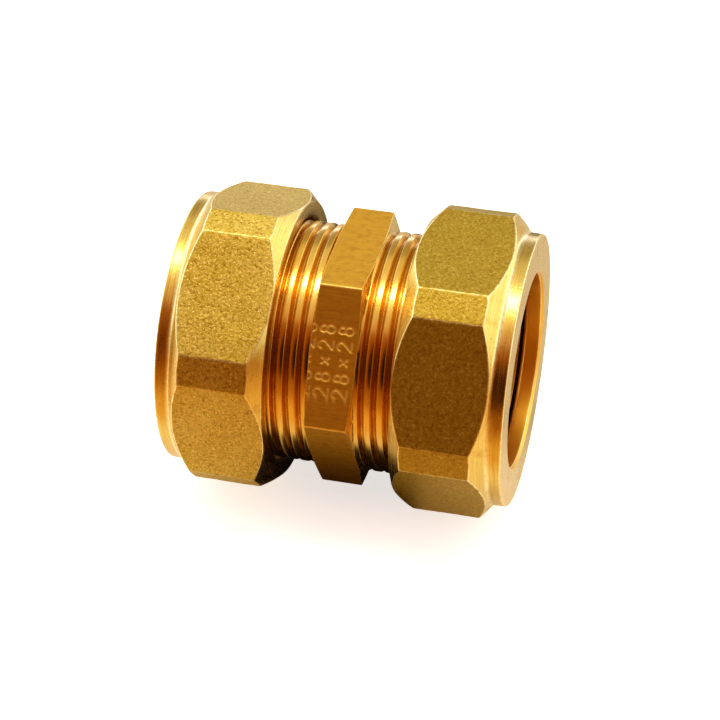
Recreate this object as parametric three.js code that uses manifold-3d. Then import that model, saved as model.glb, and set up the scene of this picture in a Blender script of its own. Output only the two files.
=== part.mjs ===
// A straight compression coupling for two 28 mm copper pipes, in brass, put together hand-tight.
//
// Five separate pieces lie on one axis, the pipe axis, which is X. Z is up, lengths are in
// millimetres, and the origin is the middle of the body on the pipe axis.
//
//   body         hexagon in the middle, a threaded socket on each side, a stop ridge inside
//   left_olive   soft brass ring that the left nut squeezes onto the pipe
//   right_olive  the same on the right
//   left_nut     hexagon nut that draws the left olive into the body's mouth
//   right_nut    the same on the right

import * as THREE from 'three';
import { mergeVertices } from 'three/addons/utils/BufferGeometryUtils.js';
import Module from 'manifold-3d';

// ---- Driving dimensions ----

const PIPE_DIAMETER = 28;
const PIPE_PLAY = 0.2;                    // how much wider the sockets are than the pipe
const STOP_DIAMETER = 26;                 // ridge that the pipe's end meets
const STOP_LENGTH = 3.2;

const BODY_LENGTH = 31.6;
const BODY_FLATS = 35;                    // across the flats of the body's hexagon
const BODY_HEX_LENGTH = 6;                // along its corners
const BODY_HEX_DOME = 0.14;               // the hexagon's ends rise this much for each mm inwards
const BODY_HEX_CLOCK = 0;                 // turn of a corner away from level, in degrees

const THREAD_DIAMETER = 35.06;
const THREAD_PITCH = 25.4 / 14;
const THREAD_DEPTH = 1.16;
const CREST_SHARE = 0.17;                 // flat on the thread's crest, and in its root, in pitches
const CREST_OFFSET = 0.85;                // where a crest crosses the plane Z = 0 on the +Y side
const THREAD_PLAY = 0.3;                  // radial room between the nut's thread and the body's
const THREAD_END_CHAMFER = 1.1;

const MOUTH_DIAMETER = 31.4;              // wide end of the body's cone, where the olive goes in
const MOUTH_SLOPE = 0.75;                 // radius gained for each mm towards the end

const NUT_START = 9.05;                   // distance of the nut's inner face from the middle
const NUT_END = 24.95;                    // distance of its outer face from the middle
const NUT_FLATS = 40.7;
const NUT_CORNERS = 44.4;                 // across the small flats that cut the corners off
const NUT_FACE_DIAMETER = 40.6;           // of the inner face, where its 45 degree chamfer starts
const NUT_COUNTERSINK_DIAMETER = 36.4;    // of the cone that leads into its thread
const NUT_OUTER_CHAMFER = 0.82;           // length of the outer chamfer for each mm of its height
const LEFT_NUT_CLOCK = 19;                // turn of a corner away from level, in degrees
const RIGHT_NUT_CLOCK = -4.4;

const COLLAR_DIAMETER = 39.7;
const COLLAR_LENGTH = 1.55;
const COLLAR_FILLET = 0.5;                // reach of the hollow curve between chamfer and collar
const COLLAR_EDGE = 0.25;
const NUT_LIP_CHAMFER = 0.4;              // on the pipe hole, at the outer face
const NUT_HOLE_LENGTH = 2.35;             // the pipe hole, from the outer face to the shoulder
const CHAMBER_DIAMETER = 32.8;            // room in the nut for the olive
const RELIEF_DIAMETER = 35.9;             // groove at the end of the nut's thread
const RELIEF_START = 16.9;
const RELIEF_END = 17.9;

const OLIVE_START = 14.75;
const OLIVE_END = 21.7;
const OLIVE_DIAMETER = 31.1;
const OLIVE_EDGE = 0.45;                  // thickness of the olive at its two ends
const OLIVE_CROWN_LENGTH = 1.8;           // cylindrical stretch in the olive's middle

const TURN_STEPS = 36;                    // flats around every round surface
const COLLAR_FILLET_STEPS = 3;
const OVERSHOOT = 1;                      // how far a cutting tool sticks out of what it cuts

const HALF_A_FLAT = 30;                   // degrees from the middle of a hexagon's flat to its corner

// ---- Worked-out sizes ----

const PIPE_HOLE_RADIUS = (PIPE_DIAMETER + PIPE_PLAY) / 2;
const STOP_RADIUS = STOP_DIAMETER / 2;
const THREAD_RADIUS = THREAD_DIAMETER / 2;
const ROOT_RADIUS = THREAD_RADIUS - THREAD_DEPTH;
const BODY_END = BODY_LENGTH / 2;

// ---- From three.js geometry to solids and back ----

const wasm = await Module();
wasm.setup();

/** The solid inside a closed geometry. */
function toSolid(geometry) {
  const bare = geometry.clone();
  bare.deleteAttribute('normal');
  bare.deleteAttribute('uv');
  const merged = mergeVertices(bare);
  const corners = merged.index.array;
  const triangles = [];
  for (let k = 0; k < corners.length; k += 3) {
    const [a, b, c] = [corners[k], corners[k + 1], corners[k + 2]];
    if (a !== b && b !== c && c !== a) triangles.push(a, b, c);
  }
  return new wasm.Manifold(new wasm.Mesh({
    numProp: 3,
    vertProperties: new Float32Array(merged.attributes.position.array),
    triVerts: new Uint32Array(triangles),
  }));
}

/** The geometry of a solid's surface. */
function toGeometry(solid) {
  const { vertProperties, triVerts } = solid.getMesh();
  const geometry = new THREE.BufferGeometry();
  geometry.setAttribute('position', new THREE.BufferAttribute(vertProperties, 3));
  geometry.setIndex(new THREE.BufferAttribute(triVerts, 1));
  geometry.computeVertexNormals();
  return geometry;
}

// ---- Shapes about the pipe axis ----

/** A turned solid. Its outline is a list of [distance along X, radius], from left to right. */
function turned(outline) {
  const points = outline.map(([x, radius]) => new THREE.Vector2(radius, x));
  const geometry = new THREE.LatheGeometry(points, TURN_STEPS);
  return toSolid(geometry.rotateZ(-Math.PI / 2));
}

/** An outline drawn for the right side, put on the side asked for: 1 is right, -1 is left. */
function onSide(side, outline) {
  if (side > 0) return outline;
  return outline.map(([x, radius]) => [-x, radius]).reverse();
}

/** A hexagonal bar along X, with one pair of corners turned up by clock degrees from level. */
function hexBar(acrossFlats, fromX, toX, clock) {
  const cornerRadius = acrossFlats / Math.sqrt(3);
  const bar = new THREE.CylinderGeometry(cornerRadius, cornerRadius, toX - fromX, 6);
  bar.rotateZ(-Math.PI / 2);
  bar.rotateX(Math.PI / 2 - THREE.MathUtils.degToRad(clock));
  bar.translate((fromX + toX) / 2, 0, 0);
  return toSolid(bar);
}

/**
 * A rod with a right-hand thread along X, a little longer at both ends than asked for. Every rod
 * follows the same helix, so a thread cut with one fits a thread made with another.
 */
function threadedRod(rootRadius, crestRadius, fromX, toX) {
  const half = CREST_SHARE / 2;
  const outline = [
    [-half, crestRadius],
    [half, crestRadius],
    [0.5 - half, rootRadius],
    [0.5 + half, rootRadius],
  ];
  const perTurn = outline.length;
  const firstTurn = Math.floor(fromX / THREAD_PITCH) - 2;
  const turns = Math.ceil(toX / THREAD_PITCH) + 1 - firstTurn;
  const last = turns * perTurn;
  const positions = [];
  for (let step = 0; step < TURN_STEPS; step++) {
    const angle = 2 * Math.PI * step / TURN_STEPS;
    for (let k = 0; k <= last; k++) {
      const [share, radius] = outline[k % perTurn];
      const turn = firstTurn + Math.floor(k / perTurn) + share + step / TURN_STEPS;
      const x = CREST_OFFSET + turn * THREAD_PITCH;
      positions.push(x, radius * Math.cos(angle), radius * Math.sin(angle));
    }
  }
  const startTip = positions.length / 3;
  const endTip = startTip + 1;
  positions.push(CREST_OFFSET + (firstTurn - 1) * THREAD_PITCH, 0, 0);
  positions.push(CREST_OFFSET + (firstTurn + turns + 2) * THREAD_PITCH, 0, 0);

  // After a full turn the grid meets itself one pitch further on.
  const vertex = (step, k) => (step < TURN_STEPS ? step * (last + 1) + k : k + perTurn);
  const triangles = [];
  for (let step = 0; step < TURN_STEPS; step++) {
    const end = step < TURN_STEPS - 1 ? last : last - perTurn;
    for (let k = 0; k < end; k++) {
      triangles.push(vertex(step, k), vertex(step + 1, k), vertex(step + 1, k + 1));
      triangles.push(vertex(step, k), vertex(step + 1, k + 1), vertex(step, k + 1));
    }
  }
  const startLoop = [];
  const endLoop = [];
  for (let step = 0; step < TURN_STEPS; step++) {
    startLoop.push(vertex(step, 0));
    endLoop.push(vertex(step, last));
  }
  for (let k = 0; k < perTurn; k++) {
    startLoop.push(vertex(0, perTurn - k));
    endLoop.push(vertex(TURN_STEPS - 1, last - 1 - k));
  }
  startLoop.forEach((here, k) => {
    triangles.push(startLoop[(k + 1) % startLoop.length], here, startTip);
  });
  endLoop.forEach((here, k) => {
    triangles.push(here, endLoop[(k + 1) % endLoop.length], endTip);
  });
  const geometry = new THREE.BufferGeometry();
  geometry.setAttribute('position', new THREE.Float32BufferAttribute(positions, 3));
  geometry.setIndex(triangles);
  return toSolid(geometry);
}

// ---- The body ----

/** The two male threads, with the plain neck inside the hexagon that joins them. */
function bodyBarrel() {
  const crest = THREAD_RADIUS + THREAD_PLAY;
  const shoulder = BODY_END - THREAD_END_CHAMFER;
  const neckEnd = BODY_HEX_LENGTH / 2 + BODY_HEX_DOME;
  const endRadius = crest - THREAD_END_CHAMFER - THREAD_PLAY;
  const limits = turned([
    [-BODY_END, 0],
    [-BODY_END, endRadius],
    [-shoulder, crest],
    [-neckEnd, crest],
    [-neckEnd, ROOT_RADIUS],
    [neckEnd, ROOT_RADIUS],
    [neckEnd, crest],
    [shoulder, crest],
    [BODY_END, endRadius],
    [BODY_END, 0],
  ]);
  return threadedRod(ROOT_RADIUS, THREAD_RADIUS, -BODY_END, BODY_END).intersect(limits);
}

/** The hexagon, with both ends turned to a very flat cone. */
function bodyHexagon() {
  const cornerRadius = BODY_FLATS / Math.sqrt(3);
  const halfLength = BODY_HEX_LENGTH / 2;
  const middleRise = cornerRadius * BODY_HEX_DOME;
  const tip = halfLength + middleRise;
  const edge = halfLength - OVERSHOOT * BODY_HEX_DOME;
  const ends = turned([
    [-tip, 0],
    [-edge, cornerRadius + OVERSHOOT],
    [edge, cornerRadius + OVERSHOOT],
    [tip, 0],
  ]);
  return hexBar(BODY_FLATS, -tip, tip, BODY_HEX_CLOCK).intersect(ends);
}

/** What is cut out of the body: two sockets and two cones, and the narrower hole through the stop. */
function bodyBore() {
  const mouthRadius = MOUTH_DIAMETER / 2;
  const coneStart = BODY_END - (mouthRadius - PIPE_HOLE_RADIUS) / MOUTH_SLOPE;
  const stop = STOP_LENGTH / 2;
  const beyond = mouthRadius + OVERSHOOT * MOUTH_SLOPE;
  const rightHalf = [
    [stop, STOP_RADIUS],
    [stop, PIPE_HOLE_RADIUS],
    [coneStart, PIPE_HOLE_RADIUS],
    [BODY_END + OVERSHOOT, beyond],
    [BODY_END + OVERSHOOT, 0],
  ];
  return turned([...onSide(-1, rightHalf), ...rightHalf]);
}

function makeBody() {
  return bodyBarrel().add(bodyHexagon()).subtract(bodyBore());
}

// ---- The nuts ----

/** The outside of a nut as a turned shape: two chamfers over the corners, and the collar. */
function nutOutside(side) {
  const wide = NUT_CORNERS / 2 + OVERSHOOT;
  const faceRadius = NUT_FACE_DIAMETER / 2;
  const collarRadius = COLLAR_DIAMETER / 2;
  const collarStart = NUT_END - COLLAR_LENGTH;
  const chamferEnd = collarStart - COLLAR_FILLET;
  const fillet = new THREE.QuadraticBezierCurve(
    new THREE.Vector2(chamferEnd - COLLAR_FILLET * NUT_OUTER_CHAMFER, collarRadius + COLLAR_FILLET),
    new THREE.Vector2(chamferEnd, collarRadius),
    new THREE.Vector2(collarStart, collarRadius),
  );
  return turned(onSide(side, [
    [NUT_START, 0],
    [NUT_START, faceRadius],
    [NUT_START + wide - faceRadius, wide],
    [chamferEnd - (wide - collarRadius) * NUT_OUTER_CHAMFER, wide],
    ...fillet.getPoints(COLLAR_FILLET_STEPS).map((point) => point.toArray()),
    [NUT_END - COLLAR_EDGE, collarRadius],
    [NUT_END, collarRadius - COLLAR_EDGE],
    [NUT_END, 0],
  ]));
}

/** What is cut out of a nut besides its thread: the run-out groove, the chamber and the pipe hole. */
function nutInside(side) {
  const chamberRadius = CHAMBER_DIAMETER / 2;
  const reliefRadius = RELIEF_DIAMETER / 2;
  const shoulder = NUT_END - NUT_HOLE_LENGTH;
  const lipRadius = PIPE_HOLE_RADIUS + NUT_LIP_CHAMFER;
  const countersinkRadius = NUT_COUNTERSINK_DIAMETER / 2;
  return turned(onSide(side, [
    [NUT_START - OVERSHOOT, 0],
    [NUT_START - OVERSHOOT, countersinkRadius + OVERSHOOT],
    [NUT_START + countersinkRadius - chamberRadius, chamberRadius],
    [RELIEF_START, chamberRadius],
    [RELIEF_START, reliefRadius],
    [RELIEF_END, reliefRadius],
    [RELIEF_END, chamberRadius],
    [shoulder - (chamberRadius - PIPE_HOLE_RADIUS), chamberRadius],
    [shoulder, PIPE_HOLE_RADIUS],
    [NUT_END - NUT_LIP_CHAMFER, PIPE_HOLE_RADIUS],
    [NUT_END + OVERSHOOT, lipRadius + OVERSHOOT],
    [NUT_END + OVERSHOOT, 0],
  ]));
}

/** The tap: a threaded rod that reaches from outside the nut's inner face into the groove. */
function nutTap(side) {
  const crest = THREAD_RADIUS + THREAD_PLAY;
  const start = NUT_START - OVERSHOOT;
  const end = (RELIEF_START + RELIEF_END) / 2;
  const limits = turned(onSide(side, [
    [start, 0],
    [start, crest + OVERSHOOT],
    [end, crest + OVERSHOOT],
    [end, 0],
  ]));
  const [low, high] = side > 0 ? [start, end] : [-end, -start];
  return threadedRod(ROOT_RADIUS + THREAD_PLAY, crest, low, high).intersect(limits);
}

function makeNut(side, clock) {
  const [low, high] = side > 0 ? [NUT_START, NUT_END] : [-NUT_END, -NUT_START];
  const flats = hexBar(NUT_FLATS, low, high, clock);
  const corners = hexBar(NUT_CORNERS, low, high, clock + HALF_A_FLAT);
  const outside = flats.intersect(corners).intersect(nutOutside(side));
  return outside.subtract(nutInside(side)).subtract(nutTap(side));
}

// ---- The olives ----

/** A ring whose outside rises from both ends to a crown in the middle. */
function makeOlive(side) {
  const crownRadius = OLIVE_DIAMETER / 2;
  const edgeRadius = PIPE_HOLE_RADIUS + OLIVE_EDGE;
  const middle = (OLIVE_START + OLIVE_END) / 2;
  const outside = turned(onSide(side, [
    [OLIVE_START, 0],
    [OLIVE_START, edgeRadius],
    [middle - OLIVE_CROWN_LENGTH / 2, crownRadius],
    [middle + OLIVE_CROWN_LENGTH / 2, crownRadius],
    [OLIVE_END, edgeRadius],
    [OLIVE_END, 0],
  ]));
  const hole = turned(onSide(side, [
    [OLIVE_START - OVERSHOOT, 0],
    [OLIVE_START - OVERSHOOT, PIPE_HOLE_RADIUS],
    [OLIVE_END + OVERSHOOT, PIPE_HOLE_RADIUS],
    [OLIVE_END + OVERSHOOT, 0],
  ]));
  return outside.subtract(hole);
}

// ---- The assembly ----

const forgedBrass = { color: 0xb8913a, roughness: 0.5, metalness: 1 };
const turnedBrass = { color: 0xc08a35, roughness: 0.3, metalness: 1 };
const softBrass = { color: 0xc89a45, roughness: 0.35, metalness: 1 };

function piece(name, solid, finish) {
  const mesh = new THREE.Mesh(toGeometry(solid), new THREE.MeshStandardMaterial(finish));
  mesh.name = name;
  return mesh;
}

const coupling = new THREE.Group();
coupling.add(piece('body', makeBody(), turnedBrass));
coupling.add(piece('left_olive', makeOlive(-1), softBrass));
coupling.add(piece('right_olive', makeOlive(1), softBrass));
coupling.add(piece('left_nut', makeNut(-1, LEFT_NUT_CLOCK), forgedBrass));
coupling.add(piece('right_nut', makeNut(1, RIGHT_NUT_CLOCK), forgedBrass));

export default coupling;
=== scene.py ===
# %% [markdown]
# # A brass compression coupling
#
# The object is a straight coupling for two 28 mm copper pipes: a threaded body with a hexagon in
# its middle, a hexagon nut at each end, and inside each nut an olive, the soft ring that grips the
# pipe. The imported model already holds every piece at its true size, as solids with flat sides. This
# script gives the same five pieces the smooth turned surfaces, rounded edges, blasted skin and
# polished threads of the real brass. Everything is in metres, with the pipe axis along X.

import math

import bmesh
import bpy
import numpy as np
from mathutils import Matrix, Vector, noise


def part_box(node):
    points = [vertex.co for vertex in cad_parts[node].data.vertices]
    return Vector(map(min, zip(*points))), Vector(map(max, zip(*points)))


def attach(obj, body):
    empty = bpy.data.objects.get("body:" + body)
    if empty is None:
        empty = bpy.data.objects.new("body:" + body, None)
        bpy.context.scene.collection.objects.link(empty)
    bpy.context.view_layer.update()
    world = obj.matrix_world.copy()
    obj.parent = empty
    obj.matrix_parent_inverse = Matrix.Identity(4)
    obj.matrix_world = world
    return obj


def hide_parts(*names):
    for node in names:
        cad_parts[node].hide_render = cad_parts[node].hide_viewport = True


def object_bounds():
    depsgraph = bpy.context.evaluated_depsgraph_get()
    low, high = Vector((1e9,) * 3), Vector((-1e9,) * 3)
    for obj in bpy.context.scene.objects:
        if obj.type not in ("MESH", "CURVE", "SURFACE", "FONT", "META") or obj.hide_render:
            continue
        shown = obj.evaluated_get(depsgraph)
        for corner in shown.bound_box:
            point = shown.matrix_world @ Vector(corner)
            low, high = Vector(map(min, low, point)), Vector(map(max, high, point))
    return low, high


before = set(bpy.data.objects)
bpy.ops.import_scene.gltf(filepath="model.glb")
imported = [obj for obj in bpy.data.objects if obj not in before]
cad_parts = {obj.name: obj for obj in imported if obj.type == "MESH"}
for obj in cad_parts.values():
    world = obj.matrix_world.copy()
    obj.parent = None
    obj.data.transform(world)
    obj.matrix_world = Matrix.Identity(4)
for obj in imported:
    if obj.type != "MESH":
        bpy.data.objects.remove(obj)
cad_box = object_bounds()
print("pieces of the packed model:", sorted(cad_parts))

# %% [markdown]
# ## The camera
#
# The camera looks down on the fitting from the front and a little from the right. It stands about
# 35 cm away with a long lens, so that near and far ends differ only slightly in size. It is placed
# by two angles round the object, which is easier to think about than three coordinates.

# %% Camera
CAMERA_AZIMUTH = math.radians(13.44)
CAMERA_ELEVATION = math.radians(36.21)
CAMERA_DISTANCE = 0.3495
CAMERA_LENS = 119.6
AIM_RIGHT = 0.00028
AIM_UP = -0.0019

towards_camera = Vector((
    math.sin(CAMERA_AZIMUTH) * math.cos(CAMERA_ELEVATION),
    -math.cos(CAMERA_AZIMUTH) * math.cos(CAMERA_ELEVATION),
    math.sin(CAMERA_ELEVATION),
))
turn = towards_camera.to_track_quat("Z", "Y")
aim = turn @ Vector((AIM_RIGHT, AIM_UP, 0))

camera = bpy.data.objects.new("camera", bpy.data.cameras.new("camera"))
bpy.context.scene.collection.objects.link(camera)
camera.data.lens = CAMERA_LENS
camera.data.clip_start = 0.01
camera.rotation_mode = "QUATERNION"
camera.rotation_quaternion = turn
camera.location = aim + towards_camera * CAMERA_DISTANCE
bpy.context.scene.camera = camera
print("camera at", [round(c, 3) for c in camera.location])

# %% [markdown]
# ## Writing materials as sums
#
# A material in Blender is a graph of nodes. Wiring it up call by call is long and hard to read, so
# two small helpers do it. `Wire` holds one number that varies over the surface and knows how to
# add, subtract, multiply and divide, each of which adds a Math node. `Graph.node` makes any other
# node: its settings are set first, then its sockets get their values or links.

# %% Helpers for materials
class Wire:
    """A number on its way through a graph of nodes."""

    def __init__(self, graph, socket):
        self.graph = graph
        self.socket = socket

    def math(self, operation, first, second=0.0):
        return self.graph.node("Math", {"operation": operation}, {0: first, 1: second})

    def __add__(self, other):
        return self.math("ADD", self, other)

    def __sub__(self, other):
        return self.math("SUBTRACT", self, other)

    def __rsub__(self, other):
        return self.math("SUBTRACT", other, self)

    def __mul__(self, other):
        return self.math("MULTIPLY", self, other)

    __radd__ = __add__
    __rmul__ = __mul__

    def between(self, low, high):
        """0 at low, 1 at high, and a smooth climb between them. low may be the larger of the two."""
        settings = {"interpolation_type": "SMOOTHSTEP"}
        sockets = {"Value": self, "From Min": low, "From Max": high}
        return self.graph.node("MapRange", settings, sockets)


class Graph:
    """The node graph of one material, or of the world."""

    def __init__(self, owner):
        owner.use_nodes = True
        self.tree = owner.node_tree
        self.tree.nodes.clear()

    def node(self, kind, settings=None, sockets=None, output=0):
        """Adds a node and returns the output asked for as a Wire."""
        made = self.tree.nodes.new("ShaderNode" + kind)
        for name, value in (settings or {}).items():
            setattr(made, name, value)
        for name, value in (sockets or {}).items():
            if isinstance(value, Wire):
                self.tree.links.new(value.socket, made.inputs[name])
            else:
                made.inputs[name].default_value = value
        return Wire(self, made.outputs[output]) if made.outputs else None

    def mix(self, share, first, second):
        """A colour between two colours."""
        sockets = {0: share, 6: first, 7: second}
        return self.node("Mix", {"data_type": "RGBA"}, sockets, output=2)

    def grain(self, place, size, detail=2.0, roughness=0.5):
        """Noise between 0 and 1 whose lumps are about this size, in metres."""
        sockets = {"Vector": place, "Scale": 1 / size, "Detail": detail, "Roughness": roughness}
        return self.node("TexNoise", None, sockets)

print("helpers ready")

# %% [markdown]
# ## Turned shapes
#
# All five pieces are finished on a lathe, so every surface can be drawn as rows of points that run
# round the pipe axis. Blender's Spin tool or a Screw modifier would turn a fixed outline, but here the
# outline changes on the way round: a hexagon's flats come and go, and a thread climbs. So each row is
# an array of places along the axis and an array of radii, one value for each station of the turn, and
# a mesh is woven between the rows. Rounded corners are worked out in the outline itself, where a Bevel
# modifier would have to guess.

# %% Measures shared by all the pieces
MM = 0.001
FULL_TURN = 2 * math.pi
THREAD_PITCH = 25.4 / 14 * MM
THREAD_RADIUS = 17.53 * MM
THREAD_DEPTH = 0.85 * MM
THREAD_PLAY = 0.3 * MM
CREST_OFFSET = 0.85 * MM
CREST_HALF_SHARE = 0.23
ROOT_HALF_SHARE = 0.05
FLANK_SOFTNESS = 0.16
PIPE_HOLE_RADIUS = 14.1 * MM

body_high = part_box("body")[1]
nut_low, nut_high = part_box("right_nut")
olive_low, olive_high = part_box("right_olive")
BODY_END = body_high.x
NUT_START = nut_low.x
NUT_END = nut_high.x
print(f"body ends at {BODY_END / MM:.2f} mm")
print(f"nuts run from {NUT_START / MM:.2f} to {NUT_END / MM:.2f} mm")

# %% Outlines with rounded corners
ROUND_STEPS = 5
LONGEST_REACH = 0.45
SHORTEST_SIDE = 1e-9


class Corner:
    """A corner of an outline: where it is, how far its rounding reaches along both sides, and how
    the stretch after it is cut up and finished."""

    def __init__(self, x, radius, reach=0.0, cuts=0, finish=0):
        self.x = x
        self.radius = radius
        self.reach = reach
        self.cuts = cuts
        self.finish = finish


class Row:
    """One row of points round the axis. edge is 1 on the ridge of a rounded corner, 0 off it."""

    def __init__(self, place, edge, finish):
        self.x, self.radius = place
        self.edge = edge
        self.finish = finish


def rounded(turn, corners):
    """Rows that follow an open outline. A corner's place and radius may differ at each station."""
    places = []
    for corner in corners:
        places.append(np.array([np.broadcast_to(v, turn.shape) for v in (corner.x, corner.radius)]))
    starts, ends = list(places), list(places)
    for k in range(1, len(corners) - 1):
        for neighbour, touched in ((k - 1, starts), (k + 1, ends)):
            away = places[neighbour] - places[k]
            length = np.hypot(*away)
            reach = np.minimum(corners[k].reach, length * LONGEST_REACH)
            touched[k] = places[k] + away * reach / np.maximum(length, SHORTEST_SIDE)
    rows = []
    for k, corner in enumerate(corners):
        before = corners[max(k - 1, 0)].finish
        if corner.reach > 0:
            for t in np.linspace(0, 1, ROUND_STEPS + 1):
                bend = starts[k] * (1 - t) ** 2 + places[k] * 2 * t * (1 - t) + ends[k] * t ** 2
                rows.append(Row(bend, 4 * t * (1 - t), before if t < 0.5 else corner.finish))
        else:
            rows.append(Row(places[k], 0.0, corner.finish))
        if k + 1 < len(corners):
            for t in np.linspace(0, 1, corner.cuts + 2)[1:-1]:
                rows.append(Row(ends[k] * (1 - t) + starts[k + 1] * t, 0.0, corner.finish))
    return rows


# %% Threads
def thread_depth(x, turn):
    """How far down a right-hand thread's flank a place is: 0 on the crest, 1 in the root."""
    turns = (x - CREST_OFFSET) / THREAD_PITCH - turn / FULL_TURN
    from_crest = np.abs((turns + 0.5) % 1 - 0.5)
    slope = (from_crest - CREST_HALF_SHARE) / (0.5 - CREST_HALF_SHARE - ROOT_HALF_SHARE)
    soft = FLANK_SOFTNESS
    low = np.clip(slope + soft, 0, 2 * soft) ** 2 / (4 * soft)
    high = np.clip(slope - 1 + soft, 0, 2 * soft) ** 2 / (4 * soft)
    middle = np.clip(slope - soft, 0, None) - np.clip(slope - 1 - soft, 0, None)
    return low + middle - high


def thread_rows(turn, low, high, radius_at, shares, finish):
    """Rows that climb with the helix between two places on the axis, where they pile up and stop.
    shares says where they lie along one pitch: 0 is mid-root and 0.5 is mid-crest."""
    first = math.floor((low - CREST_OFFSET) / THREAD_PITCH) - 1
    last = math.ceil((high - CREST_OFFSET) / THREAD_PITCH) + 1
    rows = []
    for lap in range(first, last + 1):
        for share in shares:
            x = CREST_OFFSET + (lap + share + turn / FULL_TURN - 0.5) * THREAD_PITCH
            x = np.clip(x, low, high)
            rows.append(Row((x, radius_at(x, turn)), 0.0, finish))
    return rows


# %% Stations round the turn
# How stations are spread, in degrees: how far each side of an edge they are close, how close they
# are there, and how far apart they are elsewhere.
NUT_SPREAD = (1.3, 0.33, 2.0)
BODY_SPREAD = (1.2, 0.6, 3.0)
OLIVE_SPREAD = (1.0, 2.5, 2.5)


def stations(edges, half_width, fine, coarse):
    """Angles from 0 to a full turn. The edges are given in degrees, the result is in radians."""
    marks = {0.0, 360.0}
    for edge in edges:
        for mark in (edge - half_width, edge, edge + half_width):
            marks.add(round(mark % 360, 6))
    marks = sorted(marks)
    angles = []
    for low, high in zip(marks, marks[1:]):
        middle = (low + high) / 2
        near = min(abs((middle - edge + 180) % 360 - 180) for edge in edges) < half_width
        steps = math.ceil((high - low) / (fine if near else coarse))
        angles.extend(np.linspace(low, high, steps, endpoint=False))
    return np.radians(np.array(angles + [360.0]))


LEAST_LEAN = 0.2


def soft_polygon(turn, faces, softness):
    """The radius of a bar with these flat faces, each (angle in degrees, distance from the axis), and
    how near each station is to one of its edges, from 0 to 1."""
    radii = []
    for angle, distance in faces:
        lean = np.cos(turn - math.radians(angle))
        radii.append(np.where(lean > LEAST_LEAN, distance / np.maximum(lean, LEAST_LEAN), np.inf))
    radii = np.sort(np.array(radii), axis=0)
    nearest, second = radii[0], radii[1]
    radius = nearest - softness * np.log1p(np.exp((nearest - second) / softness))
    return radius, np.exp((nearest - second) / (2 * softness))


# %% Weaving rows into a mesh
WELD_DISTANCE = 2e-7


def woven(name, turn, rows):
    """A closed mesh through all the rows, in order and back to the first."""
    x = np.array([row.x for row in rows])
    radius = np.array([row.radius for row in rows])
    edge = np.array([np.broadcast_to(row.edge, turn.shape) for row in rows])
    count, across = x.shape
    places = np.stack([x, radius * np.cos(turn), radius * np.sin(turn)], axis=-1).reshape(-1, 3)
    here = np.arange(count)[:, None] * across + np.arange(across - 1)
    ahead = (np.arange(count)[:, None] + 1) % count * across + np.arange(across - 1)
    quads = np.stack([here, here + 1, ahead + 1, ahead], axis=-1).reshape(-1, 4)
    finish = np.repeat([row.finish for row in rows], across - 1)

    mesh = bpy.data.meshes.new(name)
    mesh.from_pydata(places.tolist(), [], quads.tolist())
    mesh.polygons.foreach_set("material_index", finish.astype(np.int32))
    attribute = mesh.attributes.new("edge", "FLOAT", "POINT")
    attribute.data.foreach_set("value", edge.reshape(-1).astype(np.float32))
    shape = bmesh.new()
    shape.from_mesh(mesh)
    bmesh.ops.remove_doubles(shape, verts=shape.verts, dist=WELD_DISTANCE)
    bmesh.ops.recalc_face_normals(shape, faces=shape.faces)
    for face in shape.faces:
        face.smooth = True
    open_edges = sum(1 for e in shape.edges if len(e.link_faces) != 2)
    volume = shape.calc_volume(signed=True)
    shape.to_mesh(mesh)
    shape.free()

    piece = bpy.data.objects.new(name, mesh)
    bpy.context.scene.collection.objects.link(piece)
    even = piece.modifiers.new("even shading", "WEIGHTED_NORMAL")
    even.weight = 100
    print(f"{name}: {len(mesh.polygons)} faces, {open_edges} open edges, {volume / MM ** 3:.0f} mm3")
    return piece

# %% [markdown]
# ## The nuts
#
# A real nut starts as a hot slug of brass pressed in a die, so its six flats are slightly uneven and
# the six corners are cut off by small flats of their own. It is then shot-blasted, which leaves a
# fine matte grain, and chucked in a lathe, which cuts the chamfers, the collar, the pipe hole and the
# thread, all smooth. One function makes both nuts. Distances along the axis are given outwards from
# the middle of the fitting, and are turned over for the left nut.

# %% Measures of a nut
NUT_FLATS = 40.7 * MM
NUT_CORNERS = 44.4 * MM
NUT_FACE_RADIUS = 20.3 * MM
COUNTERSINK_RADIUS = 18.2 * MM
COLLAR_RADIUS = 19.85 * MM
COLLAR_START = NUT_END - 1.55 * MM
COLLAR_FILLET = 0.5 * MM
OUTER_CHAMFER = 0.82
LIP_CHAMFER = 0.4 * MM
SHOULDER = NUT_END - 2.35 * MM
CHAMBER_RADIUS = 16.4 * MM
RELIEF_RADIUS = 17.95 * MM
RELIEF_START = 16.9 * MM
RELIEF_END = 17.9 * MM
FACE_ROUND = 0.2 * MM
CONE_ROUND = 0.16 * MM
CHAMFER_ROUND = 0.2 * MM
RIM_ROUND = 0.35 * MM
LIP_ROUND = 0.12 * MM
CHAMBER_ROUND = 0.3 * MM
RELIEF_ROUNDS = (0.1 * MM, 0.15 * MM)
NUT_EDGE_SOFTNESS = 0.05 * MM
# How much of the pale edge colour, rubbed brass and painted highlight, the edges between flats get.
FLAT_EDGE_WEAR_AND_GLINT = 0.6
LEFT_NUT_CLOCK = 19.0
RIGHT_NUT_CLOCK = -4.4
TURNED, SKIN, THREADED = 0, 1, 2

# The small flat that cuts a corner off meets the big flats this many degrees either side of it.
flats_ratio = NUT_FLATS / NUT_CORNERS
CORNER_HALF = math.degrees(math.atan((flats_ratio - math.cos(math.pi / 6)) / math.sin(math.pi / 6)))
print(f"each small corner flat spans {2 * CORNER_HALF:.1f} degrees")

# %% Forged unevenness
LUMPS = (4.5 * MM, 0.05 * MM)
PITS = (1.1 * MM, 0.025 * MM)


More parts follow.
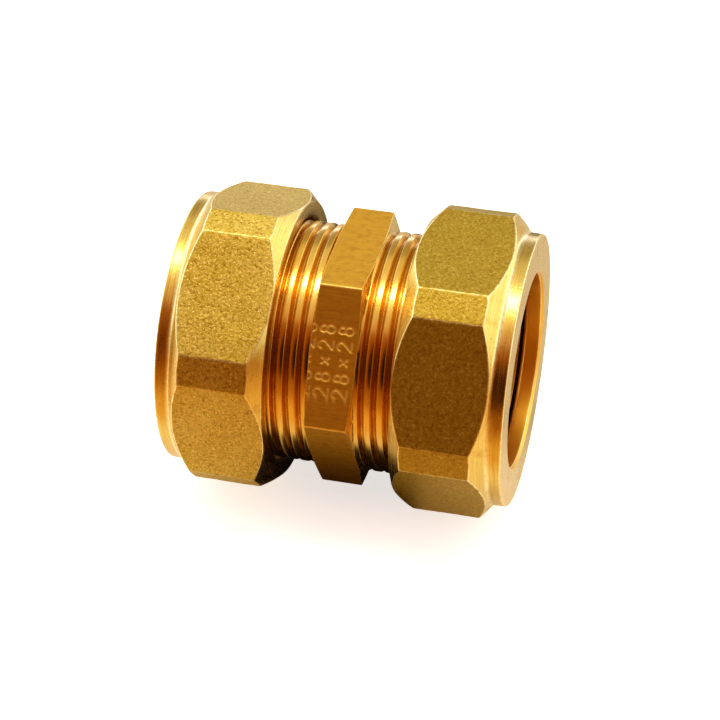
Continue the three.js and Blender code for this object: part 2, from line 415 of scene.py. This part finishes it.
def make_uneven(turn, rows, seed):
    """Moves the forged rows in and out a little, as a die and a hot billet leave them."""
    for row in rows:
        if row.finish != SKIN:
            continue
        row.radius = np.array(np.broadcast_to(row.radius, turn.shape))
        x = np.broadcast_to(row.x, turn.shape)
        for k, angle in enumerate(turn):
            place = Vector((x[k], row.radius[k] * math.cos(angle), row.radius[k] * math.sin(angle)))
            for size, height in (LUMPS, PITS):
                row.radius[k] += height * noise.noise(place / size + Vector((seed, seed, seed)))


# %% Nut
NUT_THREAD_SHARES = (0.0, 0.05, 0.09, 0.17, 0.24, 0.29, 0.5, 0.71, 0.76, 0.83, 0.91, 0.95)


def make_nut(name, outward, clock):
    """A nut whose corners are turned up by clock degrees. outward is 1 on the right, -1 on the left."""
    corners = [180 - clock + 60 * k for k in range(6)]
    edges = [(corner + side * CORNER_HALF) % 360 for corner in corners for side in (-1, 1)]
    turn = stations(edges, *NUT_SPREAD)
    faces = [(corner, NUT_CORNERS / 2) for corner in corners]
    faces += [(corner + 30, NUT_FLATS / 2) for corner in corners]
    across, near_edge = soft_polygon(turn, faces, NUT_EDGE_SOFTNESS)

    cone_end = COLLAR_START - COLLAR_FILLET
    rows = rounded(turn, [
        Corner(NUT_START, COUNTERSINK_RADIUS, 0, 2, TURNED),
        Corner(NUT_START, NUT_FACE_RADIUS, FACE_ROUND, 2, TURNED),
        Corner(NUT_START + across - NUT_FACE_RADIUS, across, CONE_ROUND, 24, SKIN),
        Corner(cone_end - (across - COLLAR_RADIUS) * OUTER_CHAMFER, across, CHAMFER_ROUND, 3, TURNED),
        Corner(cone_end, COLLAR_RADIUS, COLLAR_FILLET, 3, TURNED),
        Corner(NUT_END, COLLAR_RADIUS, RIM_ROUND, 5, TURNED),
        Corner(NUT_END, PIPE_HOLE_RADIUS + LIP_CHAMFER, LIP_ROUND, 0, TURNED),
        Corner(NUT_END - LIP_CHAMFER, PIPE_HOLE_RADIUS, LIP_ROUND, 3, TURNED),
        Corner(SHOULDER, PIPE_HOLE_RADIUS, LIP_ROUND, 3, TURNED),
        Corner(SHOULDER - CHAMBER_RADIUS + PIPE_HOLE_RADIUS, CHAMBER_RADIUS, CHAMBER_ROUND, 2, TURNED),
        Corner(RELIEF_END, CHAMBER_RADIUS, RELIEF_ROUNDS[0], 0, TURNED),
        Corner(RELIEF_END, RELIEF_RADIUS, RELIEF_ROUNDS[1], 0, TURNED),
        Corner(RELIEF_START, RELIEF_RADIUS, 0, 0, TURNED),
    ])
    make_uneven(turn, rows, seed=outward)
    for row in rows:
        row.x = row.x * outward
        if row.finish == SKIN:
            # The edges between the flats join the pale edges, which are rubbed brass and a painted
            # highlight.
            row.edge = np.maximum(row.edge, FLAT_EDGE_WEAR_AND_GLINT * near_edge)

    def wall(x, turn):
        thread = THREAD_RADIUS + THREAD_PLAY - THREAD_DEPTH * thread_depth(x, turn)
        return np.maximum(thread, COUNTERSINK_RADIUS - (outward * x - NUT_START))

    low, high = sorted((outward * NUT_START, outward * RELIEF_START))
    thread = thread_rows(turn, low, high, wall, NUT_THREAD_SHARES, TURNED)
    rows += thread[::-1] if outward > 0 else thread
    return woven(name, turn, rows)


left_nut = make_nut("left_hexagon_nut", -1, LEFT_NUT_CLOCK)
right_nut = make_nut("right_hexagon_nut", 1, RIGHT_NUT_CLOCK)

# %% [markdown]
# ## The olives
#
# An olive is a soft brass ring, thickest in its middle. The nut's inner cone pushes on one end and the
# body's mouth on the other, and together they squeeze it onto the pipe. It hides inside the nut, and
# shows only as a thin ring down the pipe hole, but it comes into view when the nut is unscrewed.

# %% Olives
OLIVE_CROWN_RADIUS = olive_high.z
OLIVE_EDGE_RADIUS = PIPE_HOLE_RADIUS + 0.45 * MM
OLIVE_CROWN_LENGTH = 1.8 * MM
OLIVE_CROWN_ROUND = 0.8 * MM
OLIVE_EDGE_ROUND = 0.15 * MM
OLIVE_BORE_ROUND = 0.1 * MM


def make_olive(name, outward):
    turn = stations([0], *OLIVE_SPREAD)
    start, end = olive_low.x, olive_high.x
    middle = (start + end) / 2
    rows = rounded(turn, [
        Corner(start, PIPE_HOLE_RADIUS, 0, 1, TURNED),
        Corner(start, OLIVE_EDGE_RADIUS, OLIVE_EDGE_ROUND, 4, TURNED),
        Corner(middle - OLIVE_CROWN_LENGTH / 2, OLIVE_CROWN_RADIUS, OLIVE_CROWN_ROUND, 1, TURNED),
        Corner(middle + OLIVE_CROWN_LENGTH / 2, OLIVE_CROWN_RADIUS, OLIVE_CROWN_ROUND, 4, TURNED),
        Corner(end, OLIVE_EDGE_RADIUS, OLIVE_EDGE_ROUND, 1, TURNED),
        Corner(end, PIPE_HOLE_RADIUS, OLIVE_BORE_ROUND, 8, TURNED),
        Corner(start + OLIVE_BORE_ROUND, PIPE_HOLE_RADIUS, 0, 0, TURNED),
    ])
    for row in rows:
        row.x = row.x * outward
    return woven(name, turn, rows)


left_olive = make_olive("left_olive_ring", -1)
right_olive = make_olive("right_olive_ring", 1)

# %% [markdown]
# ## The body
#
# The body is turned from drawn hexagonal bar. Two flats face straight up and down. The threads are cut
# right up to the hexagon, whose ends are turned to a very flat cone. Inside, a ridge in the middle stops
# each pipe, and each end opens in a cone for its olive. A maker rolls a mark into one flat: here it is
# only the pipe size, 28 x 28, in three rows, the first of them partly off the flat. The digits are
# worked into the mesh itself, so the stations are set close together across that flat.

# %% Measures of the body
BODY_FLATS = 35 * MM
HEX_HALF_LENGTH = 3 * MM
HEX_DOME = 0.14
NECK = 3.4 * MM
END_RADIUS = 16.43 * MM
END_CHAMFER = 1.27
MOUTH_RADIUS = 15.7 * MM
MOUTH_SLOPE = 0.75
STOP_RADIUS = 13 * MM
STOP_HALF = 1.6 * MM
BODY_THREAD_SHARES = (0, 0.05, 0.085, 0.12, 0.18, 0.235, 0.25, 0.27, 0.285, 0.305)
BODY_THREAD_SHARES += (0.5, 0.695, 0.715, 0.73, 0.75, 0.765, 0.82, 0.88, 0.915, 0.95)
HEX_CORNERS = [60 * k for k in range(6)]
HEX_ROUND = 0.13 * MM
HEX_EDGE_SOFTNESS = 0.06 * MM
MOUTH_ROUND = 0.1 * MM
SOCKET_ROUND = 0.2 * MM
STOP_ROUND = 0.25 * MM
FRONT_FLAT = 150.0
FLAT_REACH = 25.0

# %% The size mark
MARK_HEIGHT = 2.1 * MM
MARK_ADVANCE = 2.25 * MM
MARK_STROKE = 0.21 * MM
MARK_DEPTH = 0.11 * MM
MARK_ROWS = (-3.85 * MM, -1.2 * MM, 1.45 * MM)
MARK_TEXT = "28x28"
MARK_REACH = 18.0
MARK_STEP = 0.4
MARK_STATIONS = np.radians(np.arange(FRONT_FLAT - MARK_REACH, FRONT_FLAT + MARK_REACH, MARK_STEP))


def arc(middle_x, middle_y, radius, start, end, steps=14):
    angles = np.radians(np.linspace(start, end, steps))
    return [(middle_x + radius * math.cos(a), middle_y + radius * math.sin(a)) for a in angles]


# Each sign is a list of strokes in a box 0.66 wide and 1 high.
SIGNS = {
    "2": [arc(0.33, 0.71, 0.27, 165, -38) + [(0.05, 0.03), (0.62, 0.03)]],
    "8": [arc(0.33, 0.75, 0.22, 0, 360), arc(0.33, 0.27, 0.27, 0, 360)],
    "x": [[(0.13, 0.2), (0.53, 0.66)], [(0.13, 0.66), (0.53, 0.2)]],
}


def stroke_distance(across, up, stroke):
    """Distance of places on the flat from a stroke made of straight pieces."""
    nearest = np.full(np.broadcast(across, up).shape, np.inf)
    for (x0, y0), (x1, y1) in zip(stroke, stroke[1:]):
        dx, dy = x1 - x0, y1 - y0
        share = np.clip(((across - x0) * dx + (up - y0) * dy) / (dx * dx + dy * dy), 0, 1)
        nearest = np.minimum(nearest, np.hypot(across - x0 - share * dx, up - y0 - share * dy))
    return nearest


def mark_depth(x, turn):
    """How deep the size mark is pressed at each station of a row. It reads upwards along the flat."""
    along = BODY_FLATS / 2 * np.tan(math.radians(FRONT_FLAT) - turn)
    on_flat = np.abs(turn - math.radians(FRONT_FLAT)) < math.radians(FLAT_REACH)
    depth = np.zeros(turn.shape)
    start = -MARK_ADVANCE * len(MARK_TEXT) / 2
    for middle in MARK_ROWS:
        for place, sign in enumerate(MARK_TEXT):
            across = (along - start - place * MARK_ADVANCE) / MARK_HEIGHT
            up = (middle - x) / MARK_HEIGHT + 0.5
            for stroke in SIGNS[sign]:
                distance = stroke_distance(across, up, stroke) * MARK_HEIGHT
                press = np.clip(1 - (distance / MARK_STROKE) ** 2, 0, 1)
                depth = np.maximum(depth, MARK_DEPTH * press)
    return np.where(on_flat, depth, 0)


# %% Body
def body_thread_radius(x, turn):
    thread = THREAD_RADIUS - THREAD_DEPTH * thread_depth(x, turn)
    return np.minimum(thread, END_RADIUS + (BODY_END - np.abs(x)) * END_CHAMFER)


def make_body():
    turn = np.union1d(stations(HEX_CORNERS, *BODY_SPREAD), MARK_STATIONS)
    flats = [(corner + 30, BODY_FLATS / 2) for corner in HEX_CORNERS]
    across, near_edge = soft_polygon(turn, flats, HEX_EDGE_SOFTNESS)
    side = HEX_HALF_LENGTH + (BODY_FLATS / math.sqrt(3) - across) * HEX_DOME
    hexagon = rounded(turn, [
        Corner(-NECK, body_thread_radius(-NECK, turn), 0, 1, TURNED),
        Corner(-side, across, HEX_ROUND, 46, SKIN),
        Corner(side, across, HEX_ROUND, 1, TURNED),
        Corner(NECK, body_thread_radius(NECK, turn), 0, 0, THREADED),
    ])
    for row in hexagon:
        if row.finish == SKIN:
            pressed = mark_depth(row.x, turn)
            row.radius = row.radius - pressed
            # The strokes of the size mark join the edge attribute, so the drawn finish colours them pale
            # as a painted highlight. The hexagon's edges join it as rubbed brass and painted highlight.
            row.edge = np.maximum(np.maximum(row.edge, near_edge), pressed / MARK_DEPTH)
    cone_start = BODY_END - (MOUTH_RADIUS - PIPE_HOLE_RADIUS) / MOUTH_SLOPE
    inside = rounded(turn, [
        Corner(BODY_END, END_RADIUS, 0, 0, TURNED),
        Corner(BODY_END, MOUTH_RADIUS, MOUTH_ROUND, 2, TURNED),
        Corner(cone_start, PIPE_HOLE_RADIUS, SOCKET_ROUND, 6, TURNED),
        Corner(STOP_HALF, PIPE_HOLE_RADIUS, STOP_ROUND, 0, TURNED),
        Corner(STOP_HALF, STOP_RADIUS, STOP_ROUND, 2, TURNED),
        Corner(-STOP_HALF, STOP_RADIUS, STOP_ROUND, 0, TURNED),
        Corner(-STOP_HALF, PIPE_HOLE_RADIUS, STOP_ROUND, 6, TURNED),
        Corner(-cone_start, PIPE_HOLE_RADIUS, SOCKET_ROUND, 2, TURNED),
        Corner(-BODY_END, MOUTH_RADIUS, MOUTH_ROUND, 0, TURNED),
        Corner(-BODY_END, END_RADIUS, 0, 0, THREADED),
    ])
    left = thread_rows(turn, -BODY_END, -NECK, body_thread_radius, BODY_THREAD_SHARES, THREADED)
    right = thread_rows(turn, NECK, BODY_END, body_thread_radius, BODY_THREAD_SHARES, THREADED)
    return woven("threaded_body", turn, left + hexagon + right + inside)


body = make_body()

# %% [markdown]
# ## Brass
#
# All five pieces are the same brass, and what tells them apart is how it was worked. Brass is a metal,
# so it has no colour of its own under the gloss: it tints what it mirrors. So each finish is one
# Principled shader with Metallic at 1, a golden base colour, and a roughness and a fine height that
# say what the tool left behind. A thin clear coat adds the white gleam of a bright lamp. Image maps
# could hold all that, but sums of noise keep the same grain at every scale and need no unwrapping. The
# ridges of edges come from the edge attribute in the mesh. They are coloured pale both as brass rubbed
# by handling and as a painted highlight.

# %% One shader for every brass finish
GOLD = (0.80, 0.49, 0.060, 1)
PALE_GOLD = (0.88, 0.62, 0.17, 1)
BRIGHT_GOLD = (0.94, 0.68, 0.22, 1)
SHINY_GOLD = (0.68, 0.46, 0.09, 1)
DEEP_GOLD = (0.62, 0.30, 0.022, 1)
THREAD_GOLD = (0.90, 0.60, 0.19, 1)
ORANGE_GOLD = (0.95, 0.52, 0.06, 1)
EDGE_WEAR_GLINT_GOLD = (1.0, 0.84, 0.45, 1)
BROWN = (0.30, 0.115, 0.012, 1)


def brass(name, work, coat, coat_roughness):
    """A brass finish. work gives its colour, its roughness and its height in metres."""
    material = bpy.data.materials.new(name)
    graph = Graph(material)
    place = graph.node("TexCoord", output=3)
    colour, roughness, height = work(graph, place)
    normal = graph.node("Bump", None, {"Height": height, "Distance": 1.0})
    shader = graph.node("BsdfPrincipled", None, {
        "Base Color": colour,
        "Metallic": 1.0,
        "Roughness": roughness,
        "Normal": normal,
        "Coat Weight": coat,
        "Coat Roughness": coat_roughness,
    })
    graph.node("OutputMaterial", None, {"Surface": shader})
    print(f"{name}: {len(graph.tree.nodes)} nodes")
    return material


def radius_of(graph, place):
    """Distance from the pipe axis."""
    across = graph.node("VectorMath", {"operation": "MULTIPLY"}, {0: place, 1: (0, 1, 1)})
    return graph.node("VectorMath", {"operation": "LENGTH"}, {0: across}, output=1)


RING_DRIFT = 0.015


def lathe_rings(graph, place, size):
    """Fine rings round the axis, as a tool point cuts them, each fading in and out along its way."""
    x = graph.node("SeparateXYZ", None, {0: place})
    ring = graph.node("CombineXYZ", None, {0: x, 1: radius_of(graph, place)})
    drift = graph.node("VectorMath", {"operation": "SCALE"}, {0: place, "Scale": RING_DRIFT})
    where = graph.node("VectorMath", {"operation": "ADD"}, {0: ring, 1: drift})
    return graph.grain(where, size, detail=3)


EDGE_NOISE_SIZE = 0.8 * MM


def edge_wear_and_glint(graph, place):
    """How near a place is to the ridge of an edge, from 0 to 1, broken up a little by noise. Edges are
    coloured pale by it, both as rubbed brass and as a painted highlight.
    """
    ridge = graph.node("Attribute", {"attribute_name": "edge"}, output=2)
    return ridge * (0.4 + 0.6 * graph.grain(place, EDGE_NOISE_SIZE).between(0.25, 0.6))


# %% [markdown]
# ### Blasted skin
#
# The forged flats of the nuts are blasted with fine shot. The shot leaves dimples a quarter to half a
# millimetre across, so the skin looks matte and sparkles a little. Handling rubs the high edges smooth
# and pale, and leaves the odd dark pit; the pale edges also carry a painted highlight. The right nut is
# painted darker than the left one, as painted shade for light that falls off towards the right. Two
# materials could say so, but one that looks at which side of the middle it is on keeps the grain alike.

# %% Blasted skin
MATT_GOLD = (0.58, 0.40, 0.050, 1)
MATT_PALE = (0.64, 0.47, 0.090, 1)
# The darker colour is painted shade on the right nut's skin.
MATT_SHADED = (0.47, 0.32, 0.036, 1)
MATT_DEEP = (0.36, 0.19, 0.012, 1)


DIMPLE_SIZE = 0.46 * MM
DIMPLE_HEIGHT = 0.075 * MM
SPARK_SIZE = 0.26 * MM
SPARK_HEIGHT = 0.02 * MM
PIT_SIZE = 0.9 * MM
PIT_HEIGHT = 0.015 * MM
CLOUD_SIZE = 7 * MM
RIGHT_SHADE_FULL_AT = 10 * MM


def blasted_work(graph, place):
    dimples = graph.grain(place, DIMPLE_SIZE, detail=3, roughness=0.7)
    sparks = graph.grain(place, SPARK_SIZE, detail=1)
    pits = graph.grain(place, PIT_SIZE, detail=3).between(0.64, 0.80)
    clouds = graph.grain(place, CLOUD_SIZE, detail=3)
    edge = edge_wear_and_glint(graph, place).between(0.2, 0.85)
    # Painted shade: 0 at the middle and 1 from 10 mm out to the right. It darkens the right nut's skin
    # and dims its pale dimples and sparks.
    right_nut_shade = graph.node("SeparateXYZ", None, {0: place}).between(0, RIGHT_SHADE_FULL_AT)
    colour = graph.mix(clouds.between(0.35, 0.7), MATT_GOLD, MATT_PALE)
    colour = graph.mix(right_nut_shade, colour, MATT_SHADED)
    colour = graph.mix(dimples.between(0.51, 0.30), colour, MATT_DEEP)
    colour = graph.mix(dimples.between(0.54, 0.72) * (0.8 - 0.3 * right_nut_shade), colour, PALE_GOLD)
    colour = graph.mix(sparks.between(0.56, 0.70) * (0.9 - 0.6 * right_nut_shade), colour, BRIGHT_GOLD)
    colour = graph.mix(pits * 0.4, colour, BROWN)
    # Pale edges: rubbed brass and a painted highlight.
    colour = graph.mix(edge, colour, EDGE_WEAR_GLINT_GOLD)
    roughness = 0.44 + 0.16 * dimples - 0.20 * edge
    height = dimples * DIMPLE_HEIGHT + sparks * SPARK_HEIGHT - pits * PIT_HEIGHT
    return colour, roughness, height


blasted = brass("blasted_brass", blasted_work, coat=0.15, coat_roughness=0.3)

# %% [markdown]
# ### Turned faces
#
# The lathe leaves the chamfers, the collar, the end faces and the mouths bright, with rings too fine to
# count. Here and there the brass has gone brown where damp has sat on it. The walls of the pipe hole are
# a little rougher and more orange. An Anisotropic socket could stretch the gleam along the rings, but
# a fine height in rings does the same, and the rings show close up.

# %% Turned faces
TURNED_RING = 0.10 * MM
TURNED_RING_HEIGHT = 0.010 * MM
STAIN_SIZE = 3.5 * MM
SPECK_SIZE = 0.5 * MM
SPECK_HEIGHT = 0.006 * MM
WALL_FROM = PIPE_HOLE_RADIUS + 0.6 * MM
WALL_TO = PIPE_HOLE_RADIUS + 0.2 * MM


def turned_work(graph, place):
    rings = lathe_rings(graph, place, TURNED_RING)
    stains = graph.grain(place, STAIN_SIZE, detail=4, roughness=0.6).between(0.52, 0.74)
    specks = graph.grain(place, SPECK_SIZE, detail=2).between(0.64, 0.78)
    edge = edge_wear_and_glint(graph, place)
    wall = radius_of(graph, place).between(WALL_FROM, WALL_TO)
    colour = graph.mix(rings.between(0.3, 0.7), SHINY_GOLD, PALE_GOLD)
    colour = graph.mix(stains * 0.6, colour, DEEP_GOLD)
    colour = graph.mix(specks * 0.6, colour, BROWN)
    colour = graph.mix(wall, colour, ORANGE_GOLD)
    # Pale edges: rubbed brass and a painted highlight.
    colour = graph.mix(edge * 0.9, colour, EDGE_WEAR_GLINT_GOLD)
    roughness = 0.18 + 0.16 * rings + 0.10 * stains + 0.14 * wall
    height = rings * TURNED_RING_HEIGHT - specks * SPECK_HEIGHT
    return colour, roughness, height


turned = brass("turned_brass", turned_work, coat=0.25, coat_roughness=0.12)

# %% [markdown]
# ### Drawn flats
#
# The body's hexagon keeps the skin of the drawn bar: satin, with long faint lines along the axis where
# it was pulled through its die, and mottled brown. The lines are the same noise as everywhere, on
# places squeezed along X: a Wave texture would make them too even.

# %% Drawn flats
LINE_WIDTH = 0.16 * MM
LINE_HEIGHT = 0.004 * MM
LINE_SQUEEZE = (0.06, 1, 1)
MOTTLE_SIZE = 1.1 * MM
MOTTLE_HEIGHT = 0.002 * MM


def drawn_work(graph, place):
    squeezed = graph.node("VectorMath", {"operation": "MULTIPLY"}, {0: place, 1: LINE_SQUEEZE})
    lines = graph.grain(squeezed, LINE_WIDTH, detail=3, roughness=0.6)
    mottle = graph.grain(place, MOTTLE_SIZE, detail=3).between(0.45, 0.75)
    edge = edge_wear_and_glint(graph, place)
    colour = graph.mix(0.35 + 0.5 * lines.between(0.3, 0.7), DEEP_GOLD, GOLD)
    colour = graph.mix(mottle * 0.3, colour, BROWN)
    # Pale edges and pale strokes of the size mark. The edges show rubbed brass, and both carry a painted
    # highlight.
    colour = graph.mix(edge * 0.9, colour, BRIGHT_GOLD)
    roughness = 0.44 + 0.14 * lines + 0.06 * mottle
    height = lines * LINE_HEIGHT + mottle * MOTTLE_HEIGHT
    return colour, roughness, height


drawn = brass("drawn_brass", drawn_work, coat=0.2, coat_roughness=0.2)

# %% [markdown]
# ### Threads
#
# Threads are cut, then polished by every turn of the nut, so they are the brightest part of the body.
# Their roots are painted a dark orange as shade, with brown patches of dirt and painted shade in them.
# How deep a place lies is read from its distance to the axis, so no second material or painted mask is
# needed.

# %% Threads
THREAD_RING = 0.07 * MM
THREAD_RING_HEIGHT = 0.0025 * MM
DIRT_AND_SHADE_SIZE = 2.5 * MM
ROOT_FROM = THREAD_RADIUS - 0.3 * THREAD_DEPTH
ROOT_TO = THREAD_RADIUS - THREAD_DEPTH


def thread_work(graph, place):
    rings = lathe_rings(graph, place, THREAD_RING)
    root = radius_of(graph, place).between(ROOT_FROM, ROOT_TO)
    dirt_and_shade = root * graph.grain(place, DIRT_AND_SHADE_SIZE, detail=3).between(0.25, 0.65)
    colour = graph.mix(rings.between(0.3, 0.7), THREAD_GOLD, GOLD)
    # Painted shade: the roots are darkened towards a dark orange, and brown patches of dirt and painted
    # shade lie in them.
    colour = graph.mix(root * 0.5, colour, DEEP_GOLD)
    colour = graph.mix(dirt_and_shade * 0.3, colour, BROWN)
    roughness = 0.16 + 0.12 * rings + 0.12 * dirt_and_shade
    height = rings * THREAD_RING_HEIGHT
    return colour, roughness, height


threaded = brass("thread_brass", thread_work, coat=0.3, coat_roughness=0.08)

# %% [markdown]
# ### Olives
#
# An olive is a softer, redder brass, parted off a tube and tumbled, so it is dull with faint rings.

# %% Olives' finish
OLIVE_RING = 0.14 * MM
OLIVE_RING_HEIGHT = 0.004 * MM
RUB_SIZE = 1.6 * MM


def olive_work(graph, place):
    rings = lathe_rings(graph, place, OLIVE_RING)
    rubbed = graph.grain(place, RUB_SIZE, detail=3).between(0.4, 0.7)
    colour = graph.mix(rubbed, GOLD, DEEP_GOLD)
    roughness = 0.26 + 0.12 * rings + 0.08 * rubbed
    height = rings * OLIVE_RING_HEIGHT
    return colour, roughness, height


tumbled = brass("olive_brass", olive_work, coat=0.3, coat_roughness=0.2)

# %% Dress the pieces and hang them on the frame
# The order of the finishes is the order of the numbers TURNED, SKIN and THREADED.
FINISHES = {
    "body": (body, "body_brass", (turned, drawn, threaded)),
    "left_nut": (left_nut, "nut_brass", (turned, blasted)),
    "right_nut": (right_nut, "nut_brass", (turned, blasted)),
    "left_olive": (left_olive, "olive_brass", (tumbled,)),
    "right_olive": (right_olive, "olive_brass", (tumbled,)),
}
for node, (piece, slot, finishes) in FINISHES.items():
    for finish in finishes:
        piece.data.materials.append(finish)
    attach(piece, node)
    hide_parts(node)
print("pieces hung on the frame:", list(FINISHES))

# %% [markdown]
# ## Floor and light
#
# The fitting lies on a white sheet. A wide soft lamp hangs over it, and just under that a bright strip
# along X draws the gleam on the threads. A metal shows what stands round it, so the rest of the room
# matters as much as the lamps: bright windows at both sides and low at the back, and in front a brown
# room with a nearly black middle, which the front flats and the threads mirror. The sheet is drawn in
# the same way, in bands of colour that only the brass sees: brown table far in front, then warm paper,
# white paper, greyer paper at the back, and shade under the middle. The camera itself sees white paper
# and a white wall. Real boards and cards round the object could do all this, but the light path node
# needs no modelling.

# %% Floor
FLOOR_SPAN = 3.0
floor_height = cad_box[0][2]
floor_mesh = bpy.data.meshes.new("floor")
shape = bmesh.new()
bmesh.ops.create_grid(shape, x_segments=8, y_segments=8, size=FLOOR_SPAN / 2)
bmesh.ops.translate(shape, verts=shape.verts, vec=(0, 0, floor_height))
shape.to_mesh(floor_mesh)
shape.free()
floor = bpy.data.objects.new("floor", floor_mesh)
bpy.context.scene.collection.objects.link(floor)
print(f"floor at {floor_height / MM:.2f} mm")

# %% Paper
PAPER_GLOW = 0.62
SHEET_WHITE = (0.93, 0.93, 0.92, 1)
SHEET_MIRRORED = (0.88, 0.86, 0.80, 1)
BACK_MIRRORED = (0.66, 0.60, 0.46, 1)
WARM_MIRRORED = (0.88, 0.58, 0.22, 1)
TABLE_MIRRORED = (0.46, 0.20, 0.03, 1)
SHADE_MIRRORED = (0.03, 0.03, 0.04, 1)
NO_GLOW = (0, 0, 0, 1)
SHEET_GLOW = (0.34, 0.30, 0.20, 1)

# Where each band of the sheet fades in, in metres: first nothing of it, then all of it.
TABLE_TO_WARM = (-0.10, -0.04)
WARM_TO_SHEET = (-0.040, -0.022)
SHEET_TO_BACK = (0.0, 0.02)
SHADE_SIDES = (0.0125, 0.0095)
SHADE_FRONT = (-0.027, -0.021)

paper = bpy.data.materials.new("white_paper")
graph = Graph(paper)
spot = graph.node("TexCoord", output=3)
x, y = (graph.node("SeparateXYZ", None, {0: spot}, output=k) for k in range(2))
x = graph.node("Math", {"operation": "ABSOLUTE"}, {0: x})
near = y.between(*WARM_TO_SHEET)
far = y.between(*SHEET_TO_BACK)
under = x.between(*SHADE_SIDES) * y.between(*SHADE_FRONT)
mirrored = graph.mix(y.between(*TABLE_TO_WARM), TABLE_MIRRORED, WARM_MIRRORED)
mirrored = graph.mix(near, mirrored, SHEET_MIRRORED)
mirrored = graph.mix(far, mirrored, BACK_MIRRORED)
mirrored = graph.mix(under, mirrored, SHADE_MIRRORED)
glow = graph.mix(near * (1 - far) * (1 - under), NO_GLOW, SHEET_GLOW)
seen = graph.node("LightPath", output=0)
sheet = graph.node("BsdfPrincipled", None, {
    "Base Color": graph.mix(seen, mirrored, SHEET_WHITE),
    "Roughness": 0.9,
    "Specular IOR Level": 0.2,
    "Emission Color": graph.mix(seen, glow, SHEET_WHITE),
    "Emission Strength": PAPER_GLOW,
})
graph.node("OutputMaterial", None, {"Surface": sheet})
floor_mesh.materials.append(paper)
print(f"{paper.name}: {len(graph.tree.nodes)} nodes")

# %% Lamps
# Each lamp faces straight down. Given are its place, its size along X and Y in metres, and its glow.
LAMPS = {
    "wide_lamp": ((-0.05, 0.09, 0.56), (1.05, 1.05), 0.33),
    "strip_lamp": ((-0.045, 0.01, 0.50), (0.36, 0.10), 7.0),
}

for name, (place, (width, depth), glow) in LAMPS.items():
    lamp = bpy.data.objects.new(name, bpy.data.lights.new(name, "AREA"))
    lamp.data.shape = "RECTANGLE"
    lamp.data.size = width
    lamp.data.size_y = depth
    lamp.data.energy = glow * math.pi * width * depth
    lamp.location = place
    lamp.visible_camera = False
    bpy.context.scene.collection.objects.link(lamp)
    print(f"{name}: {lamp.data.energy:.2f} W")

# %% Room
WALLS = (0.40, 0.35, 0.25, 1)
SIDE_WINDOWS = (1.35, 1.4, 1.5, 1)
BROWN_ROOM = (0.36, 0.10, 0.005, 1)
DARK_ROOM = (0.012, 0.006, 0.004, 1)
BACK_WINDOW = (1.7, 1.85, 2.3, 1)
WHITE = (1, 1, 1, 1)

# Round parts of the room are given by a middle, and by how far from it in degrees they start and are
# all there. The window at the back is given by how far back and how high it starts and is all there.
WINDOW_PLACE = Vector((0.88, 0.35, 0.25)).normalized()
WINDOW_CONE = (46, 26)
DARK_HEIGHT = math.radians(19)
DARK_PLACE = Vector((0.05, -math.cos(DARK_HEIGHT), math.sin(DARK_HEIGHT))).normalized()
DARK_CONE = (27, 14)
BROWN_CONE = (62, 35)
BACK_FROM = (0.5, 0.8)
BACK_HEIGHT = (0.16, 0.08)


def cone(direction, centre, outer, inner):
    """1 in directions within inner degrees of the centre, 0 beyond outer degrees."""
    sockets = {0: direction, 1: centre}
    towards = direction.graph.node("VectorMath", {"operation": "DOT_PRODUCT"}, sockets, output=1)
    return towards.between(math.cos(math.radians(outer)), math.cos(math.radians(inner)))


world = bpy.data.worlds.new("room")
bpy.context.scene.world = world
graph = Graph(world)
direction = graph.node("TexCoord", output=0)
brown = cone(direction, DARK_PLACE, *BROWN_CONE)
dark = cone(direction, DARK_PLACE, *DARK_CONE)
right, back, up = (graph.node("SeparateXYZ", None, {0: direction}, output=k) for k in range(3))
right = graph.node("Math", {"operation": "ABSOLUTE"}, {0: right})
either_side = graph.node("CombineXYZ", None, {0: right, 1: back, 2: up})
window = cone(either_side, WINDOW_PLACE, *WINDOW_CONE)
level = back.between(*BACK_FROM) * up.between(*BACK_HEIGHT)
seen = graph.node("LightPath", output=0)
room = graph.mix(dark, graph.mix(brown, WALLS, BROWN_ROOM), DARK_ROOM)
room = graph.mix(window, room, SIDE_WINDOWS)
room = graph.mix(level, room, BACK_WINDOW)
room = graph.mix(seen, room, WHITE)
background = graph.node("Background", None, {"Color": room, "Strength": 1.0})
graph.node("OutputWorld", None, {"Surface": background})

bpy.context.scene.view_settings.view_transform = "Standard"
bpy.context.scene.view_settings.look = "Medium High Contrast"
print("room lit")
